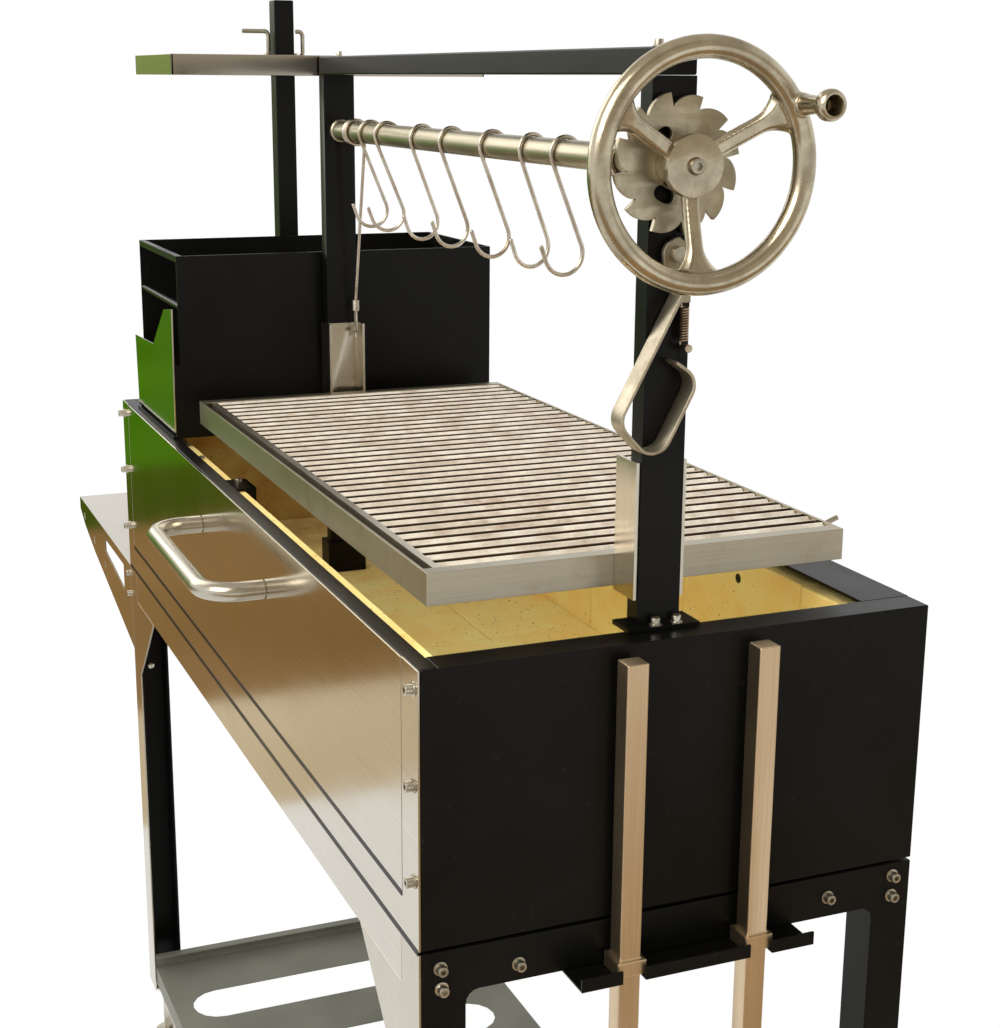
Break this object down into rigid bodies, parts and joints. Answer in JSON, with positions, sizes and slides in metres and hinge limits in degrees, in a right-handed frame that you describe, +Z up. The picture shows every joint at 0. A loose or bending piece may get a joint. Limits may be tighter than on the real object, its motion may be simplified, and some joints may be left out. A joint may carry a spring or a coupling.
{
  "type": "argentine grill",
  "caption": "Brick-lined charcoal grill on a cart, with a grate raised by a handwheel and cables, an ember basket, a warming rack, hooks and shelves.",
  "frame": {"origin": "on the floor, below the middle of the whole object's bounding box", "axes": "+X runs along the grill to its right end, where the handwheel is, +Y from its front to its rear and +Z up"},
  "size_m": [1.7922, 0.564, 1.585],
  "materials": {
    "black_paint": "satin black powder coat on 2 to 3 mm steel sheet and tube",
    "stainless_sheet": "satin stainless sheet, fine brushed grain",
    "stainless_tube": "satin stainless round tube and bar",
    "stainless_bar": "satin stainless flat and square bar",
    "stainless_wire": "bright drawn stainless wire",
    "stainless_rope": "stranded stainless wire rope",
    "warm_steel": "satin cast and laser-cut stainless steel",
    "zinc_plated": "bright zinc-plated fastener steel",
    "spring_steel": "bright spring wire",
    "firebrick": "matt pale yellow firebrick"
  },
  "bodies": {
    "cart": {"right_end_panel": "black_paint", "left_end_panel": "black_paint", "rear_panel": "black_paint", "front_rail": "black_paint", "front_surround": "stainless_sheet", "right_lining": "firebrick", "left_lining": "firebrick", "rear_lining": "firebrick", "front_lining": "firebrick", "floor_lining": "firebrick", "right_end_frame": "black_paint", "left_end_frame": "black_paint", "front_apron": "stainless_sheet", "rear_apron": "black_paint", "right_leg_facing": "stainless_sheet", "left_leg_facing": "stainless_sheet", "lower_shelf": "black_paint", "foot_front_right": "zinc_plated", "foot_rear_right": "zinc_plated", "foot_front_left": "zinc_plated", "foot_rear_left": "zinc_plated", "right_post": "black_paint", "left_post": "black_paint", "brasero_post": "black_paint", "cross_beam": "black_paint", "pawl_pivot_bolt": "zinc_plated", "spring_screw": "zinc_plated", "pawl_spring": "spring_steel", "right_cable": "stainless_rope", "left_cable": "stainless_rope", "tool_rack": "black_paint"},
    "door": {"door_panel": "stainless_sheet", "door_handle": "stainless_tube"},
    "winch": {"winch_shaft": "stainless_tube", "ratchet_wheel": "warm_steel", "handwheel": "warm_steel", "hub_screw": "zinc_plated", "right_winding": "stainless_rope", "left_winding": "stainless_rope"},
    "crank": {"crank_grip": "warm_steel"},
    "pawl": {"pawl_lever": "stainless_bar"},
    "grate": {"grate_frame": "stainless_sheet", "grate_bars": "stainless_bar", "right_guide": "stainless_sheet", "left_guide": "stainless_sheet"},
    "hook_1": {"s_hook_1": "stainless_wire"},
    "hook_2": {"s_hook_2": "stainless_wire"},
    "hook_3": {"s_hook_3": "stainless_wire"},
    "hook_4": {"s_hook_4": "stainless_wire"},
    "hook_5": {"s_hook_5": "stainless_wire"},
    "hook_6": {"s_hook_6": "stainless_wire"},
    "hook_7": {"s_hook_7": "stainless_wire"},
    "basket": {"brasero_body": "black_paint", "brasero_front_plate": "stainless_sheet", "brasero_grid": "black_paint"},
    "warming_rack": {"upper_rack": "stainless_sheet", "catch_rod": "stainless_wire"},
    "shelf": {"side_shelf": "stainless_sheet"},
    "front_bar": {"bar_front": "stainless_bar"},
    "rear_bar": {"bar_rear": "stainless_bar"}
  },
  "joints": [
    {"name": "door_lift", "type": "slide", "parent": "cart", "child": "door", "axis": [0, 0, 1], "range_m": [0, 0.27]},
    {"name": "grate_lift", "type": "slide", "parent": "cart", "child": "grate", "axis": [0, 0, 1], "range_m": [0, 0.18], "deforming": ["right_cable", "left_cable"]},
    {"name": "winch_turn", "type": "hinge", "parent": "cart", "child": "winch", "pos_m": [0.30315, 0.026, 1.415], "axis": [1, 0, 0], "range_deg": [0, 712]},
    {"name": "crank_spin", "type": "hinge", "parent": "winch", "child": "crank", "pos_m": [0.87615, 0.10827, 1.4625], "axis": [1, 0, 0], "continuous": true},
    {"name": "pawl_release", "type": "hinge", "parent": "cart", "child": "pawl", "pos_m": [0.79865, 0.028, 1.344], "axis": [1, 0, 0], "range_deg": [0, 12], "stiffness_Nm_per_rad": 0.5, "springref_deg": -11.46, "deforming": ["pawl_spring"]},
    {"name": "hook_1_swing", "type": "hinge", "parent": "cart", "child": "hook_1", "pos_m": [0.58615, 0.026, 1.415], "axis": [1, 0, 0], "range_deg": [-20, 20]},
    {"name": "hook_2_swing", "type": "hinge", "parent": "cart", "child": "hook_2", "pos_m": [0.51115, 0.026, 1.415], "axis": [1, 0, 0], "range_deg": [-20, 20]},
    {"name": "hook_3_swing", "type": "hinge", "parent": "cart", "child": "hook_3", "pos_m": [0.41115, 0.026, 1.415], "axis": [1, 0, 0], "range_deg": [-20, 20]},
    {"name": "hook_4_swing", "type": "hinge", "parent": "cart", "child": "hook_4", "pos_m": [0.29615, 0.026, 1.415], "axis": [1, 0, 0], "range_deg": [-20, 20]},
    {"name": "hook_5_swing", "type": "hinge", "parent": "cart", "child": "hook_5", "pos_m": [0.20415, 0.026, 1.415], "axis": [1, 0, 0], "range_deg": [-20, 20]},
    {"name": "hook_6_swing", "type": "hinge", "parent": "cart", "child": "hook_6", "pos_m": [0.08415, 0.026, 1.415], "axis": [1, 0, 0], "range_deg": [-20, 20]},
    {"name": "hook_7_swing", "type": "hinge", "parent": "cart", "child": "hook_7", "pos_m": [0.02415, 0.026, 1.415], "axis": [1, 0, 0], "range_deg": [-20, 20]},
    {"name": "basket_lift", "type": "slide", "parent": "cart", "child": "basket", "axis": [0, 0, 1], "range_m": [0, 0.1]},
    {"name": "rack_height", "type": "slide", "parent": "cart", "child": "warming_rack", "axis": [0, 0, 1], "range_m": [-0.2, 0.05]},
    {"name": "shelf_lift", "type": "slide", "parent": "cart", "child": "shelf", "axis": [0, 0, 1], "range_m": [0, 0.05]},
    {"name": "front_bar_lift", "type": "slide", "parent": "cart", "child": "front_bar", "axis": [0, 0, 1], "range_m": [0, 0.28]},
    {"name": "rear_bar_lift", "type": "slide", "parent": "cart", "child": "rear_bar", "axis": [0, 0, 1], "range_m": [0, 0.28]}
  ],
  "couplings": [
    {"joint": "winch_turn", "follows": "grate_lift", "rad_per_m": 67.568}
  ]
}
